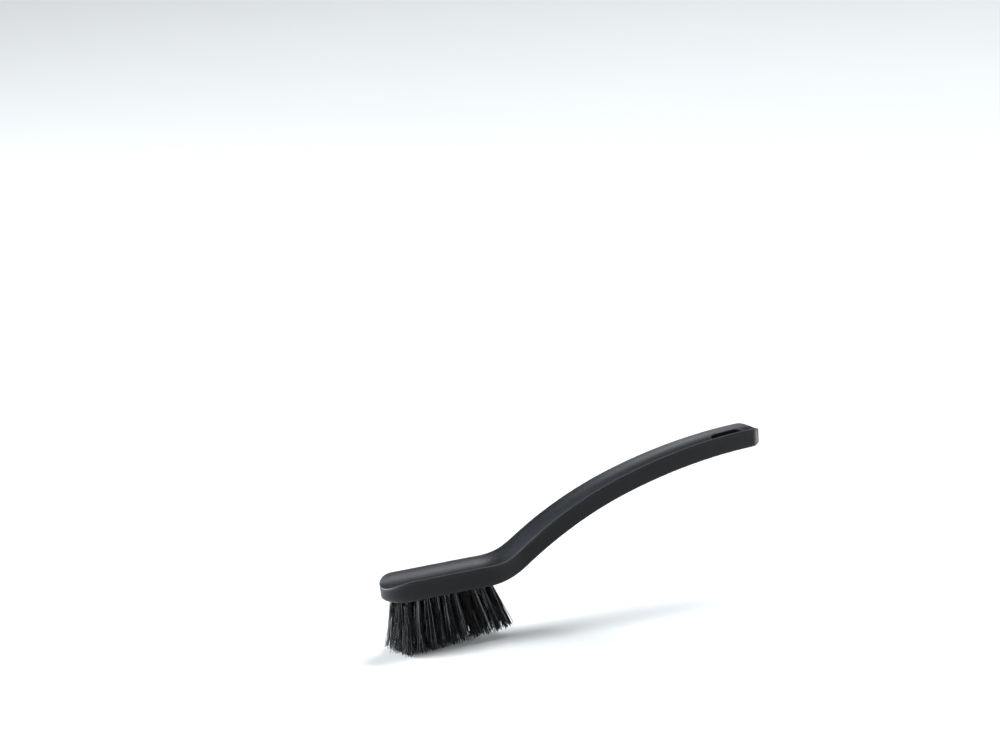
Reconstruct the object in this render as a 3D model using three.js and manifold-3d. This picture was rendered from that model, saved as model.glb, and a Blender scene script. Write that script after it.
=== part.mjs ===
// Long-handled wheel brush: a one-piece moulded block and handle, with three rows of filament tufts.
// Each tuft is folded over a flat metal anchor and driven into a blind hole in the head.
//
// Millimetres. X runs from the tip of the head to the end of the handle. Z points up, away from the bristles.
// While it is being built, X = 0 is the tip of the head and Z = 0 is the flat underside of the head.

import * as THREE from "three";
import { mergeVertices } from "three/addons/utils/BufferGeometryUtils.js";
import Module from "manifold-3d";

// ---------------------------------------------------------------- driving dimensions

const overallLength = 320; // tip of the head to the end of the handle

// Plan outline
const headWidth = 27.8;
const headTipLength = 16; // the tip is half an ellipse this long
const neckLead = 0.5; // the head starts to narrow this far before its level stretch ends
const neckLength = 33; // and takes this long to become the handle
const gripWidthAtNeck = 20.4;
const gripWidthAtEnd = 19.6;
const gripEndLength = 10.2; // the end of the handle is half an ellipse this long
const drawLean = THREE.MathUtils.degToRad(6.5); // the mould opens this far off the vertical, so the ends lean

// Side line: the bottom of the thumb channel, seen from the side
const headFlatLength = 80; // level stretch above the bristles
const bendLength = 26.7; // upward bend, along X
const bendPitch = THREE.MathUtils.degToRad(33); // steepest pitch, at the end of the upward bend
const archLength = 89.8; // the handle's first, tighter arch, along X
const archPitch = THREE.MathUtils.degToRad(15.3); // pitch where that arch runs into the long, flat one
const endPitch = THREE.MathUtils.degToRad(0.5);

// Section
const channelRadius = 19.5; // the whole top is one hollow channel of this radius
const headWeb = 9.2; // thickness under the bottom of the channel, at the head
const gripWeb = 10.8; // the same, along the handle

// Hanging slot, right through the end of the handle
const slotLength = 28;
const slotSideWall = 5.4; // from the slot to each side of the handle
const slotEndWall = 11.4; // from the slot to the end of the handle

// Bristles
const tuftHoleDiameter = 3.6;
const tuftHoleRoof = 2.6; // plastic left between a hole and the bottom of the channel
const outerRowTufts = 10;
const centreRowTufts = 9;
const outerRowInset = 4.5; // outer rows, in from the sides of the head
const firstTuftInset = 14.5; // first tufts of the outer rows, in from the tip of the head
const centreRowLead = 1.2; // the centre row starts this much nearer the tip
const lastTuftOverrun = 1.3; // last tufts, past the end of the level stretch
const frontTrim = 38.5; // bristle length outside the head, at the front
const rearTrim = 35;
const frontLean = THREE.MathUtils.degToRad(-1); // towards the handle is positive
const rearLean = THREE.MathUtils.degToRad(23.5);
const rowSplay = THREE.MathUtils.degToRad(1.5); // the outer rows lean outwards
const tuftTipDiameter = 6.4; // a tuft opens out from its hole to its trimmed end

// Anchors
const anchorBite = 0.5; // each end of an anchor reaches this far past the wall of its hole
const anchorHeight = 1.6;
const anchorThickness = 0.5;
const anchorSeat = 1; // thickness of folded filament between the anchor and the bottom of the hole

// Clearances
const tuftClearance = 0.3; // tuft to the wall and the bottom of its hole
const anchorClearance = 0.3; // anchor to the plastic and to the filaments round it

// Fineness of the faceted surfaces
const sideSteps = 52;
const channelFacets = 60;
const outlineSteps = 12; // on each curve of the plan outline
const holeFacets = 12;
const tuftFacets = 12;

// Amounts by which cutting shapes reach past what they cut
const overshoot = 12;
const channelHeadroom = 1;

const mouldedPlastic = new THREE.MeshStandardMaterial({ color: 0x2b2c30, roughness: 0.55, metalness: 0 });
const filamentPlastic = new THREE.MeshStandardMaterial({ color: 0x101114, roughness: 0.5, metalness: 0 });
const anchorMetal = new THREE.MeshStandardMaterial({ color: 0xb8b4a8, roughness: 0.35, metalness: 1 });

// ---------------------------------------------------------------- joining and cutting

const wasm = await Module();
wasm.setup();

function toSolid(geometry) {
  const bare = geometry.clone();
  bare.deleteAttribute("normal");
  bare.deleteAttribute("uv");
  const merged = mergeVertices(bare, 1e-4);
  return new wasm.Manifold(
    new wasm.Mesh({
      numProp: 3,
      vertProperties: new Float32Array(merged.attributes.position.array),
      triVerts: new Uint32Array(merged.index.array),
    }),
  );
}

function toGeometry(solid) {
  const mesh = solid.getMesh();
  const geometry = new THREE.BufferGeometry();
  geometry.setAttribute("position", new THREE.BufferAttribute(mesh.vertProperties, 3));
  geometry.setIndex(new THREE.BufferAttribute(mesh.triVerts, 1));
  const flat = geometry.toNonIndexed();
  flat.computeVertexNormals();
  return flat;
}

// ---------------------------------------------------------------- side line

// The side line is a level line and three arcs that run into each other. Each stretch is an arc between two
// X positions, and the sine of its pitch changes evenly along X, which is what makes it round.
const bendEnd = headFlatLength + bendLength;
const archEnd = bendEnd + archLength;
const sideStretches = [
  { fromX: 0, toX: headFlatLength, fromPitch: 0, toPitch: 0 },
  { fromX: headFlatLength, toX: bendEnd, fromPitch: 0, toPitch: bendPitch },
  { fromX: bendEnd, toX: archEnd, fromPitch: bendPitch, toPitch: archPitch },
  { fromX: archEnd, toX: overallLength, fromPitch: archPitch, toPitch: endPitch },
];

function pitchAt(x) {
  const inside = sideStretches.find((s) => x <= s.toX) ?? sideStretches.at(-1);
  const share = THREE.MathUtils.clamp((x - inside.fromX) / (inside.toX - inside.fromX), 0, 1);
  return Math.asin(THREE.MathUtils.lerp(Math.sin(inside.fromPitch), Math.sin(inside.toPitch), share));
}

// Height of the side line above the head's underside. An arc of radius r rises by r (cos a - cos b).
function sideHeight(x) {
  let height = headWeb;
  for (const s of sideStretches) {
    const end = Math.min(x, s.toX);
    if (end <= s.fromX) break;
    const turn = Math.sin(s.toPitch) - Math.sin(s.fromPitch);
    if (turn === 0) height += (end - s.fromX) * Math.tan(s.fromPitch);
    else height += ((s.toX - s.fromX) / turn) * (Math.cos(s.fromPitch) - Math.cos(pitchAt(end)));
  }
  return height + Math.max(0, x - overallLength) * Math.tan(endPitch);
}

// A point square off the side line: above it where offset is positive, below it where offset is negative.
function besideLine(x, offset) {
  const pitch = pitchAt(x);
  return new THREE.Vector2(x - offset * Math.sin(pitch), sideHeight(x) + offset * Math.cos(pitch));
}

const neckStart = headFlatLength - neckLead;
const neckEnd = neckStart + neckLength;

function webAt(x) {
  return THREE.MathUtils.lerp(headWeb, gripWeb, THREE.MathUtils.smoothstep(x, headFlatLength, neckEnd));
}

// ---------------------------------------------------------------- block and handle

// Outlines are drawn as seen along the mould's opening direction. A point's place on an outline is its X plus
// a share of its height, and leaning an upright column by that share brings it back.
const drawShare = Math.tan(drawLean);
const lean = new THREE.Matrix4().makeShear(0, 0, 0, 0, -drawShare, 0);

function outlineAt(x, offset = 0) {
  return x + drawShare * (sideHeight(x) + offset);
}

const outlineEnd = outlineAt(overallLength, -gripWeb); // the lowest edge of the end wall reaches furthest
const headHalf = headWidth / 2;
const rimHeight = channelRadius - Math.sqrt(channelRadius ** 2 - headHalf ** 2);

// The brush seen from the side, as thick as its rims, extruded right across. The level stretch needs only
// one station at each end, and the bends have all the others.
function sideSlab() {
  const reach = overallLength + overshoot;
  const bends = Array.from({ length: sideSteps + 1 }, (_, i) =>
    THREE.MathUtils.lerp(headFlatLength, reach, i / sideSteps),
  );
  const along = [0, ...bends];
  const top = along.map((x) => besideLine(x, rimHeight + channelHeadroom));
  const bottom = along.map((x) => besideLine(x, -webAt(x)));
  top[0].x = bottom[0].x = -overshoot;
  const shape = new THREE.Shape([...bottom, ...top.reverse()]);
  const slab = new THREE.ExtrudeGeometry(shape, { depth: headWidth + 2 * overshoot, bevelEnabled: false });
  slab.rotateX(Math.PI / 2); // the shape's Y becomes Z, and its depth runs towards -Y
  slab.translate(0, headHalf + overshoot, 0);
  return toSolid(slab);
}

// The outline of the brush, extruded right up through it.
function planColumn() {
  const gripStart = gripWidthAtNeck / 2;
  const gripEnd = gripWidthAtEnd / 2;
  const tipX = outlineAt(0) + headTipLength;
  const fromX = outlineAt(neckStart);
  const toX = outlineAt(neckEnd);
  const endX = outlineEnd - gripEndLength;
  const third = (toX - fromX) / 3;
  const shape = new THREE.Shape();
  shape.moveTo(fromX, headHalf);
  shape.lineTo(tipX, headHalf);
  shape.absellipse(tipX, 0, headTipLength, headHalf, Math.PI / 2, (3 * Math.PI) / 2, false);
  shape.lineTo(fromX, -headHalf);
  shape.bezierCurveTo(fromX + third, -headHalf, toX - third, -gripStart, toX, -gripStart);
  shape.lineTo(endX, -gripEnd);
  shape.absellipse(endX, 0, gripEndLength, gripEnd, -Math.PI / 2, Math.PI / 2, false);
  shape.lineTo(toX, gripStart);
  shape.bezierCurveTo(toX - third, gripStart, fromX + third, headHalf, fromX, headHalf);
  const height = sideHeight(overallLength) + rimHeight + 4 * overshoot;
  const column = new THREE.ExtrudeGeometry(shape, {
    depth: height,
    bevelEnabled: false,
    curveSegments: outlineSteps,
  });
  column.translate(0, 0, -2 * overshoot).applyMatrix4(lean);
  return toSolid(column);
}

// The round cutter that hollows the top: a circle carried along the side line, one radius above it.
class ChannelAxis extends THREE.Curve {
  getPoint(t, target = new THREE.Vector3()) {
    const x = THREE.MathUtils.lerp(-overshoot, overallLength + 2 * overshoot, t);
    const point = besideLine(Math.max(x, 0), channelRadius);
    return target.set(point.x + Math.min(x, 0), 0, point.y);
  }
}

function channelCutter() {
  const circle = new THREE.Shape().absarc(0, 0, channelRadius, 0, 2 * Math.PI, false);
  const cutter = new THREE.ExtrudeGeometry(circle, {
    extrudePath: new ChannelAxis(),
    steps: sideSteps + 8,
    bevelEnabled: false,
    curveSegments: channelFacets,
  });
  return toSolid(cutter);
}

function slotCutter() {
  const radius = gripWidthAtEnd / 2 - slotSideWall;
  const outerX = outlineEnd - slotEndWall - radius;
  const innerX = outerX - slotLength + 2 * radius;
  const shape = new THREE.Shape();
  shape.absarc(outerX, 0, radius, -Math.PI / 2, Math.PI / 2, false);
  shape.absarc(innerX, 0, radius, Math.PI / 2, (3 * Math.PI) / 2, false);
  const height = gripWeb + rimHeight + 3 * overshoot;
  const cutter = new THREE.ExtrudeGeometry(shape, { depth: height, bevelEnabled: false, curveSegments: 8 });
  cutter.translate(0, 0, sideHeight(overallLength) - gripWeb - 2 * overshoot).applyMatrix4(lean);
  return toSolid(cutter);
}

// ---------------------------------------------------------------- bristles

const tuftHoleDepth = headWeb - tuftHoleRoof;
const rowSpacing = headHalf - outerRowInset;

// Every tuft's row, number, place on the underside, lean and length outside the head.
function tuftPlaces() {
  const rows = [
    { name: "near", side: -1, count: outerRowTufts, lead: 0 },
    { name: "centre", side: 0, count: centreRowTufts, lead: centreRowLead },
    { name: "far", side: 1, count: outerRowTufts, lead: 0 },
  ];
  return rows.flatMap((row) =>
    Array.from({ length: row.count }, (_, i) => {
      const share = i / (row.count - 1);
      return {
        name: `${row.name}_${String(i + 1).padStart(2, "0")}`,
        x: THREE.MathUtils.lerp(firstTuftInset - row.lead, headFlatLength + lastTuftOverrun, share),
        y: row.side * rowSpacing,
        lean: THREE.MathUtils.lerp(frontLean, rearLean, share),
        splay: row.side * rowSplay,
        length: THREE.MathUtils.lerp(frontTrim, rearTrim, share),
      };
    }),
  );
}

// Where a tuft stands: its own Z axis runs up its hole, with Z = 0 where it leaves the underside.
function tuftMatrix(place) {
  const turned = new THREE.Matrix4().makeRotationFromEuler(new THREE.Euler(place.splay, -place.lean, 0));
  return turned.setPosition(place.x, place.y, 0);
}

function anchorBlank(clearance) {
  const box = new THREE.BoxGeometry(
    tuftHoleDiameter + 2 * anchorBite + 2 * clearance,
    anchorThickness + 2 * clearance,
    anchorHeight + 2 * clearance,
  );
  const bottomOfHole = tuftHoleDepth - tuftClearance;
  return box.translate(0, 0, bottomOfHole - anchorSeat - anchorHeight / 2);
}

function tuftGeometry(place) {
  const root = tuftHoleDiameter / 2 - tuftClearance;
  const tip = tuftTipDiameter / 2;
  const crown = tip / 4; // the trimmed end is slightly domed
  const profile = [
    new THREE.Vector2(0, tuftHoleDepth - tuftClearance),
    new THREE.Vector2(root, tuftHoleDepth - tuftClearance),
    new THREE.Vector2(root, 0),
    new THREE.Vector2(THREE.MathUtils.lerp(root, tip, 0.6), -place.length / 2),
    new THREE.Vector2(tip, -place.length + crown),
    new THREE.Vector2(0, -place.length),
  ].reverse();
  const bundle = new THREE.LatheGeometry(profile, tuftFacets).rotateX(Math.PI / 2);
  return toGeometry(toSolid(bundle).subtract(toSolid(anchorBlank(anchorClearance))));
}

function holeCutter(place) {
  const reach = tuftHoleDepth + overshoot;
  const hole = new THREE.CylinderGeometry(tuftHoleDiameter / 2, tuftHoleDiameter / 2, reach, holeFacets);
  hole.rotateX(Math.PI / 2).translate(0, 0, tuftHoleDepth - reach / 2);
  const pocket = anchorBlank(anchorClearance);
  const turned = tuftMatrix(place);
  return toSolid(hole.applyMatrix4(turned)).add(toSolid(pocket.applyMatrix4(turned)));
}

// ---------------------------------------------------------------- assembly

const places = tuftPlaces();

function blockAndHandle() {
  let body = sideSlab().intersect(planColumn()).subtract(channelCutter()).subtract(slotCutter());
  for (const place of places) body = body.subtract(holeCutter(place));
  return toGeometry(body);
}

function namedMesh(name, geometry, material) {
  const mesh = new THREE.Mesh(geometry, material);
  mesh.name = name;
  return mesh;
}

const brush = new THREE.Group();
brush.add(namedMesh("block_handle", blockAndHandle(), mouldedPlastic));

for (const place of places) {
  const station = new THREE.Group();
  station.applyMatrix4(tuftMatrix(place));
  station.add(namedMesh(`tuft_${place.name}`, tuftGeometry(place), filamentPlastic));
  station.add(namedMesh(`anchor_${place.name}`, anchorBlank(0), anchorMetal));
  brush.add(station);
}

// The part's own frame: X and Y in the middle of the brush, Z = 0 at the tips of the longest bristles.
const size = new THREE.Box3().setFromObject(brush, true);
const middle = size.getCenter(new THREE.Vector3());
brush.position.set(-middle.x, -middle.y, -size.min.z);

const wheelBrush = new THREE.Group();
wheelBrush.add(brush);

export default wheelBrush;
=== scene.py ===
# %% [markdown]
# # A long-handled wheel brush
# One black moulding makes the head and the handle, and 29 tufts of black filament are set in the head.
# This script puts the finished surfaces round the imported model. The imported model, the frame, says where each
# piece is and how big it is. Everything here is in metres, with X from the head to the handle and Z up.

# %% Load the frame
import math

import bmesh
import bpy
import numpy as np
from mathutils import Matrix, Vector
from mathutils.geometry import delaunay_2d_cdt


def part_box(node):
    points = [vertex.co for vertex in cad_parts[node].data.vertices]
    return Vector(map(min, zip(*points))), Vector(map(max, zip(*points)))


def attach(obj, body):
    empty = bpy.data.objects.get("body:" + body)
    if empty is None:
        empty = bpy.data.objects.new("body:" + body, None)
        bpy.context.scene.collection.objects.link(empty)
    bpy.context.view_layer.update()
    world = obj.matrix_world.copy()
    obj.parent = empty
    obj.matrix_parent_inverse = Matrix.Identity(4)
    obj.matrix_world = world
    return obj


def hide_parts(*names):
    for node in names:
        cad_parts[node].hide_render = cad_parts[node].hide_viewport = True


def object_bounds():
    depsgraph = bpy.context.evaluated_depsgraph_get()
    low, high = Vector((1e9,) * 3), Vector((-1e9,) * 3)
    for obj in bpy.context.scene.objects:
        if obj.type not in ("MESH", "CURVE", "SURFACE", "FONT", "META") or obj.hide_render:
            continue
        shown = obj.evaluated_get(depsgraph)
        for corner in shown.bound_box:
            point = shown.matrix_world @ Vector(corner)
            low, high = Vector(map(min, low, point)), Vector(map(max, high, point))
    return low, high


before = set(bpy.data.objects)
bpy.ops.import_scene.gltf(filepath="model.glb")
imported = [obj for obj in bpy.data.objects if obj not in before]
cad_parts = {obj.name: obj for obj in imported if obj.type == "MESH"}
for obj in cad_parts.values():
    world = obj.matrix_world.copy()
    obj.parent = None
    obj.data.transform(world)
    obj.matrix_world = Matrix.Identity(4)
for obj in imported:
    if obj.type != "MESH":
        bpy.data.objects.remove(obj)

MM = 0.001
cad_low, cad_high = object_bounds()
block_low, block_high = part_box("block_handle")
UNDERSIDE = block_low.z  # height of the flat face that the bristles are set in
HEAD_TIP = block_low.x
print("frame holds", len(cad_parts), "nodes in a box", [round(v, 4) for v in cad_high - cad_low])

# %% [markdown]
# ## Camera
# A long lens a few steps back keeps the far end of the handle nearly as large as the head, as a product
# picture does. The camera is set first, so that every later choice is judged from the same place.
# It looks past the brush, up and to the left of it, which puts the brush low and right of the middle.

# %% Camera
LENS = 0.129
SENSOR = 0.036
CAMERA_DISTANCE = 2.5
CAMERA_AZIMUTH = math.radians(34.4)  # how far the brush turns away from the camera
CAMERA_ELEVATION = math.radians(13.7)
LOOKS_LEFT = 0.0527  # how far left of the brush, and above it, the camera looks
LOOKS_ABOVE = 0.0938
BRUSH_MIDDLE = Vector((0, 0, UNDERSIDE + 0.0388))


def place_camera():
    """Puts the camera straight back from the point it looks at, level with the horizon."""
    sin_a, cos_a = math.sin(CAMERA_AZIMUTH), math.cos(CAMERA_AZIMUTH)
    sin_e, cos_e = math.sin(CAMERA_ELEVATION), math.cos(CAMERA_ELEVATION)
    forward = Vector((sin_a * cos_e, cos_a * cos_e, -sin_e))
    right = Vector((cos_a, -sin_a, 0))
    up = right.cross(forward)
    target = BRUSH_MIDDLE - LOOKS_LEFT * right + LOOKS_ABOVE * up
    data = bpy.data.cameras.new("camera")
    data.lens, data.sensor_width = LENS / MM, SENSOR / MM
    camera = bpy.data.objects.new("camera", data)
    camera.location = target - CAMERA_DISTANCE * forward
    camera.rotation_euler = forward.to_track_quat("-Z", "Y").to_euler()
    bpy.context.scene.collection.objects.link(camera)
    bpy.context.scene.camera = camera
    return camera


camera = place_camera()
print("camera at", [round(v, 3) for v in camera.location])

# %% [markdown]
# ## Helpers for surfaces
# A piece is made of patches. A patch is a grid of points, rows by columns, worked out as one array.
# The patches of a piece share the points on their seams, so merging those closes the surface.

# %% Patches into a mesh
SEAM = 2e-6  # points closer than this are the same point


def grid_faces(rows, columns, start):
    """Quads of a grid whose points are numbered along each row in turn, from start."""
    first = start + np.arange(rows - 1)[:, None] * columns + np.arange(columns - 1)[None, :]
    return np.stack([first, first + 1, first + columns + 1, first + columns], -1).reshape(-1, 4)


def mesh_object(name, patches, triangles=()):
    """Joins grids, and (points, triangles) pairs, into one closed object whose faces point outwards."""
    points, faces, start = [], [], 0
    for patch in patches:
        rows, columns = patch.shape[:2]
        points.append(patch.reshape(-1, 3))
        faces += grid_faces(rows, columns, start).tolist()
        start += rows * columns
    for corners, threes in triangles:
        points.append(corners)
        faces += (np.asarray(threes) + start).tolist()
        start += len(corners)
    mesh = bpy.data.meshes.new(name)
    mesh.from_pydata(np.concatenate(points), [], faces)
    close_surface(mesh)
    mesh.shade_smooth()
    piece = bpy.data.objects.new(name, mesh)
    bpy.context.scene.collection.objects.link(piece)
    return piece


def close_surface(mesh):
    """Merges the points on the seams, drops faces with no area and turns every face outwards."""
    bm = bmesh.new()
    bm.from_mesh(mesh)
    bmesh.ops.remove_doubles(bm, verts=bm.verts, dist=SEAM)
    bmesh.ops.dissolve_degenerate(bm, edges=bm.edges, dist=SEAM)
    bmesh.ops.recalc_face_normals(bm, faces=bm.faces)
    open_edges = sum(1 for edge in bm.edges if not edge.is_manifold)
    print(mesh.name, len(bm.faces), "faces,", open_edges, "open edges")
    bm.to_mesh(mesh)
    bm.free()


# %% [markdown]
# ## Side line
# Seen from the side, the bottom of the thumb channel is a level line, a tight upward bend, a long arch and
# a longer, flatter arch. Each arc is a stretch of X in which the sine of the slope changes evenly, which is
# what makes it round, and the height then has a closed form. Heights are above the underside of the head.

# %% Side line
LENGTH = block_high.x - block_low.x
HEAD_FLAT = 80 * MM
BEND_END = HEAD_FLAT + 26.7 * MM
ARCH_END = BEND_END + 89.8 * MM
BEND_SLOPE, ARCH_SLOPE, END_SLOPE = (math.sin(math.radians(d)) for d in (33, 15.3, 0.5))
HEAD_WEB, GRIP_WEB = 9.2 * MM, 10.8 * MM  # thickness below the channel
NECK_START, NECK_LENGTH = HEAD_FLAT - 0.5 * MM, 33 * MM
KNOTS = np.array([0, HEAD_FLAT, BEND_END, ARCH_END, LENGTH])
KNOT_SLOPES = np.array([0, 0, BEND_SLOPE, ARCH_SLOPE, END_SLOPE])


def line_height(x):
    """Adds up each arc's rise, which is its radius times the difference of the cosines of its slopes."""
    height = np.full(np.shape(x), HEAD_WEB)
    for x0, x1, s0, s1 in zip(KNOTS, KNOTS[1:], KNOT_SLOPES, KNOT_SLOPES[1:]):
        reach = np.clip(x, x0, x1)
        if s0 != s1:
            here = s0 + (s1 - s0) * (reach - x0) / (x1 - x0)
            height += (x1 - x0) / (s1 - s0) * (math.sqrt(1 - s0**2) - np.sqrt(1 - here**2))
    return height + np.maximum(x - LENGTH, 0) * END_SLOPE


def beside_line(x, offset):
    """The point square off the side line at x, above the line where the offset is positive."""
    sine = np.interp(x, KNOTS, KNOT_SLOPES)
    return x - offset * sine, line_height(x) + offset * np.sqrt(1 - sine**2)


def smooth_step(x, start, end):
    """Goes from 0 to 1 between start and end with level ends: three times the square less twice the cube."""
    share = np.clip((x - start) / (end - start), 0, 1)
    return share * share * (3 - 2 * share)


def web_at(x):
    """Thickness below the channel, which grows a little from the head to the handle."""
    return HEAD_WEB + (GRIP_WEB - HEAD_WEB) * smooth_step(x, HEAD_FLAT, NECK_START + NECK_LENGTH)


# %% [markdown]
# ## Plan outline and how the mould opens
# Seen along the direction in which the mould opens, the brush is a long oval: a squarish half ellipse at
# the tip, a straight head, a neck and a handle that ends in another one. That direction leans a little
# off the vertical, because the mould splits along the slope of the whole brush, so both end walls lean
# the same way. An outline position is therefore X plus a small share of the height.

# %% Plan outline
DRAW = math.tan(math.radians(6.5))  # lean of the mould's opening direction
HEAD_HALF, GRIP_HALF, END_HALF = 13.9 * MM, 10.2 * MM, 9.8 * MM
TIP_LENGTH, END_LENGTH = 16 * MM, 10.2 * MM
TIP_SQUARENESS, END_SQUARENESS = 2.1, 2.15  # 2 is a plain half ellipse
HEAD_CHANNEL, GRIP_CHANNEL = 18.6 * MM, 15.2 * MM  # radius of the hollow top, a little tighter on the handle


def channel_height(y, radius):
    """Height above the lowest line of the hollow: radius less the root of radius squared less y squared."""
    return radius - np.sqrt(radius**2 - y**2)


def outline_at(x, offset=0.0):
    """Outline position of a point beside the side line: its X plus its share of the height."""
    return x + DRAW * (float(line_height(np.array(x))) + offset)


OUTLINE_TIP = outline_at(0.0)
OUTLINE_END = outline_at(LENGTH, -GRIP_WEB)
NECK_FROM = outline_at(NECK_START)
NECK_TO = outline_at(NECK_START + NECK_LENGTH)


def seat(outline_x, offset):
    """Finds X and height of the points at an offset from the side line whose outline position is given."""
    x = np.array(outline_x, float)
    for _ in range(14):
        reached, height = beside_line(x, offset)
        x -= reached + DRAW * height - outline_x
    return beside_line(x, offset)


def outline_half(x):
    """Half width at outline positions between the two ovals: smooth over the neck, then a slight taper."""
    head_to_grip = smooth_step(x, NECK_FROM, NECK_TO)
    taper_end = OUTLINE_END - END_LENGTH
    taper = np.clip((x - NECK_TO) / (taper_end - NECK_TO), 0, 1)
    return HEAD_HALF + (GRIP_HALF - HEAD_HALF) * head_to_grip + (END_HALF - GRIP_HALF) * taper


SLOT_LENGTH, SLOT_END_WALL, SLOT_SIDE_WALL = 28 * MM, 11.4 * MM, 5.4 * MM
SLOT_HALF = END_HALF - SLOT_SIDE_WALL
SLOT_EDGE = 0.7 * MM  # rounding of the slot's edges
SLOT_TO = OUTLINE_END - SLOT_END_WALL
SLOT_FROM = SLOT_TO - SLOT_LENGTH


def outline_stations():
    """Outline points, (position, half width, outward x, outward y), close together at ends, neck and slot."""
    def spread(start, end, step):
        return np.linspace(start, end, max(2, round((end - start) / step) + 1))

    def eased(start, end, count):
        return start + (end - start) * (1 - np.cos(np.linspace(0, math.pi, count))) / 2

    turn = SLOT_HALF + SLOT_EDGE
    x = np.concatenate([
        spread(OUTLINE_TIP + TIP_LENGTH, NECK_FROM - 4 * MM, 2 * MM),
        spread(NECK_FROM - 4 * MM, NECK_TO + 12 * MM, 0.9 * MM),
        spread(NECK_TO + 12 * MM, SLOT_FROM - SLOT_EDGE, 1.6 * MM),
        eased(SLOT_FROM - SLOT_EDGE, SLOT_FROM - SLOT_EDGE + 2 * turn, 33)[:17],
        spread(SLOT_FROM - SLOT_EDGE + turn, SLOT_TO + SLOT_EDGE - turn, 1.2 * MM),
        eased(SLOT_TO + SLOT_EDGE - 2 * turn, SLOT_TO + SLOT_EDGE, 33)[16:],
        spread(SLOT_TO + SLOT_EDGE, OUTLINE_END - END_LENGTH, 0.4 * MM),
    ])
    x = x[np.concatenate([[True], np.diff(x) > 1e-7])]
    half = outline_half(x)
    # the handle's own taper is too slight to count
    slope = np.where((x > NECK_FROM) & (x < NECK_TO), np.gradient(half, x), 0)
    flat = np.stack([x, half, -slope / np.hypot(slope, 1), 1 / np.hypot(slope, 1)], 1)
    tip_turn = np.linspace(0, math.pi / 2, 34)[:-1]
    tip = oval_points(OUTLINE_TIP + TIP_LENGTH, -TIP_LENGTH, HEAD_HALF, tip_turn, TIP_SQUARENESS)
    end_turn = np.linspace(math.pi / 2, 0, 28)[1:]
    end = oval_points(OUTLINE_END - END_LENGTH, END_LENGTH, END_HALF, end_turn, END_SQUARENESS)
    return np.concatenate([tip, flat, end])


def oval_points(centre, reach, half, turn, squareness):
    """Points of half an oval: reach times a power of the cosine along X, half width times a power of the
    sine. The power is 2 over the squareness, and 2 makes an ellipse."""
    cosine, sine = np.clip(np.cos(turn), 0, 1), np.sin(turn)
    out_x, out_y = cosine ** (2 - 2 / squareness) / reach, sine ** (2 - 2 / squareness) / half
    size = np.hypot(out_x, out_y)
    x, y = centre + reach * cosine ** (2 / squareness), half * sine ** (2 / squareness)
    return np.stack([x, y, out_x / size, out_y / size], 1)


stations = outline_stations()
print("outline has", len(stations), "stations")
print("the neck runs from", round(NECK_FROM, 4), "to", round(NECK_TO, 4))

# %% [markdown]
# ## Walls and edges of the moulding
# Going down from the channel, the surface rolls over a small rim, drops down a wall that leans inwards so
# that the brush leaves its mould, and turns under through a larger round. At each station this is a profile
# of inward distance against offset from the side line, made of two arcs with a straight wall between them.

# %% Wall profile
RIM_ROUND = 0.6 * MM
TIP_FOOT_ROUND, HEAD_FOOT_ROUND = 1.4 * MM, 1.2 * MM
GRIP_FOOT_ROUND, END_FOOT_ROUND = 1.1 * MM, 2.8 * MM
CHANNEL_CHANGE = HEAD_FLAT + 4 * MM, BEND_END + 40 * MM  # the stretches over which each size changes
TIP_FOOT_CHANGE, END_FOOT_CHANGE = (2 * MM, 11 * MM), (LENGTH - 11 * MM, LENGTH - 2 * MM)
DRAFT = math.tan(math.radians(2))
RIM_STEPS, WALL_STEPS, FOOT_STEPS, ACROSS = 7, 7, 9, 16

line_x = np.interp(stations[:, 0], [OUTLINE_TIP, OUTLINE_END], [0, LENGTH])
web = web_at(line_x)
channel = HEAD_CHANNEL + (GRIP_CHANNEL - HEAD_CHANNEL) * smooth_step(line_x, *CHANNEL_CHANGE)
foot_round = (
    TIP_FOOT_ROUND
    + (HEAD_FOOT_ROUND - TIP_FOOT_ROUND) * smooth_step(line_x, *TIP_FOOT_CHANGE)
    + (GRIP_FOOT_ROUND - HEAD_FOOT_ROUND) * smooth_step(line_x, HEAD_FLAT, BEND_END)
    + (END_FOOT_ROUND - GRIP_FOOT_ROUND) * smooth_step(line_x, *END_FOOT_CHANGE)
)


def rim_contact():
    """Tilt of the channel where the rim's round touches it, and the height of that round's centre."""
    tilt = np.zeros(len(stations))
    for _ in range(8):
        y = stations[:, 1] - RIM_ROUND * (1 + np.sin(tilt)) * stations[:, 3]
        tilt = np.arctan(y / np.sqrt(channel**2 - y**2) * stations[:, 3])
    return tilt, channel_height(y, channel) - RIM_ROUND * np.cos(tilt)


def wall_profile():
    """Inward distance and offset down the wall, one row per station: rim arc, straight wall, foot arc."""
    tilt, centre = rim_contact()
    turn = (math.pi / 2 - tilt)[:, None] + (math.pi / 2 + tilt)[:, None] * np.linspace(0, 1, RIM_STEPS)
    rim = np.stack([RIM_ROUND * (1 + np.cos(turn)), centre[:, None] + RIM_ROUND * np.sin(turn)], -1)
    foot_offset = foot_round - web
    lean = DRAFT * (centre - foot_offset)
    share = np.linspace(0, 1, WALL_STEPS)
    wall = np.stack([lean[:, None] * share, centre[:, None] + (foot_offset - centre)[:, None] * share], -1)
    turn = math.pi + math.pi / 2 * np.linspace(0, 1, FOOT_STEPS)
    foot = np.stack([
        (lean + foot_round)[:, None] + foot_round[:, None] * np.cos(turn),
        foot_offset[:, None] + foot_round[:, None] * np.sin(turn),
    ], -1)
    return np.concatenate([rim, wall[:, 1:], foot[:, 1:]], 1)


def to_row(outline_x, y, offset):
    """Turns outline position, Y and offset from the side line into points in the frame."""
    outline_x, y, offset = np.broadcast_arrays(outline_x, y, offset)
    x, height = seat(outline_x, offset)
    return np.stack([HEAD_TIP + x, y, UNDERSIDE + height], -1)


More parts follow.
